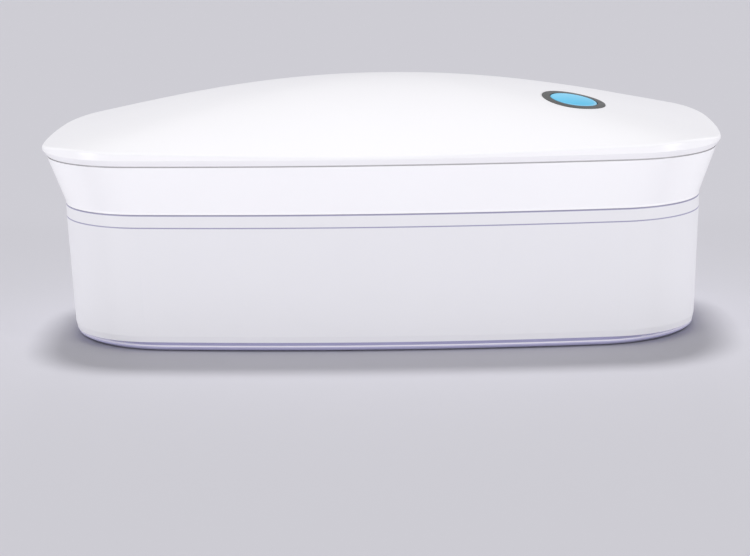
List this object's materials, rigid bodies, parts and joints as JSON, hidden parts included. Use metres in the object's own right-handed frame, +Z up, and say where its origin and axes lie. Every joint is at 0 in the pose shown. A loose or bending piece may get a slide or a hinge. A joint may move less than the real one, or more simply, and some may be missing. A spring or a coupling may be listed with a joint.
{
  "type": "uv sterilizer box",
  "caption": "Long bowed box with a hinged, crowned lid that carries ultraviolet lamps, a battery and a round sprung power button.",
  "frame": {"origin": "on the floor, under the middle of the footprint", "axes": "+X along the length, +Y from the front to the hinge side, +Z up"},
  "size_m": [0.22, 0.11, 0.0821],
  "materials": {
    "body_plastic": "light grey satin moulded plastic",
    "tinted_base": "translucent lilac moulded plastic",
    "tinted_seal": "lilac translucent elastomer seal",
    "foot_rubber": "soft grey rubber",
    "screw_steel": "zinc plated steel",
    "pin_steel": "ground stainless steel",
    "bright_liner": "bright metallised reflector",
    "lid_plastic": "white glossy moulded plastic",
    "panel_plastic": "white satin moulded plastic",
    "magnet_plating": "nickel plated magnet",
    "window_glass": "clear quartz window",
    "light_board": "white coated aluminium board",
    "led_package": "ceramic lamp package",
    "circuit_board": "green solder mask",
    "chip_plastic": "black moulded package",
    "socket_steel": "tinned steel shell",
    "holder_plastic": "black nylon",
    "cell_wrap": "blue shrink wrap",
    "contact_steel": "nickel plated spring steel",
    "bezel_plastic": "dark grey moulded ring",
    "button_plastic": "translucent blue lit plastic",
    "plunger_plastic": "black nylon"
  },
  "bodies": {
    "base": {"base_tub": "body_plastic", "base_tray": "tinted_base", "base_screws": "screw_steel", "rubber_feet": "foot_rubber", "tub_liner": "bright_liner", "rim_collar": "body_plastic", "collar_gasket": "tinted_seal", "lid_gasket": "tinted_seal", "base_magnets": "magnet_plating", "sensor_magnet": "magnet_plating", "hinge_pins": "pin_steel"},
    "lid": {"lid_frame": "lid_plastic", "lid_cover": "lid_plastic", "lid_inner_panel": "panel_plastic", "lid_magnets": "magnet_plating", "lid_screws": "screw_steel", "uv_reflector": "bright_liner", "uv_window": "window_glass", "uv_led_board": "light_board", "uv_leds": "led_package", "uv_board_screws": "screw_steel", "control_board": "circuit_board", "board_chips": "chip_plastic", "usb_socket": "socket_steel", "lid_sensor": "chip_plastic", "board_screws": "screw_steel", "battery_holder": "holder_plastic", "battery_cell": "cell_wrap", "battery_contacts": "contact_steel", "button_bezel": "bezel_plastic", "tact_switch": "chip_plastic", "button_board": "circuit_board", "button_screws": "screw_steel", "button_leds": "led_package"},
    "button": {"power_button": "button_plastic", "switch_plunger": "plunger_plastic"}
  },
  "joints": [
    {"name": "lid_hinge", "type": "hinge", "parent": "base", "child": "lid", "pos_m": [0, 0.05125, 0.04425], "axis": [-1, 0, 0], "range_deg": [0, 90]},
    {"name": "button_press", "type": "slide", "parent": "lid", "child": "button", "axis": [-0.1724, 0.096, -0.9803], "range_m": [0, 0.0006], "stiffness_N_per_m": 600, "springref_m": -0.0005}
  ]
}
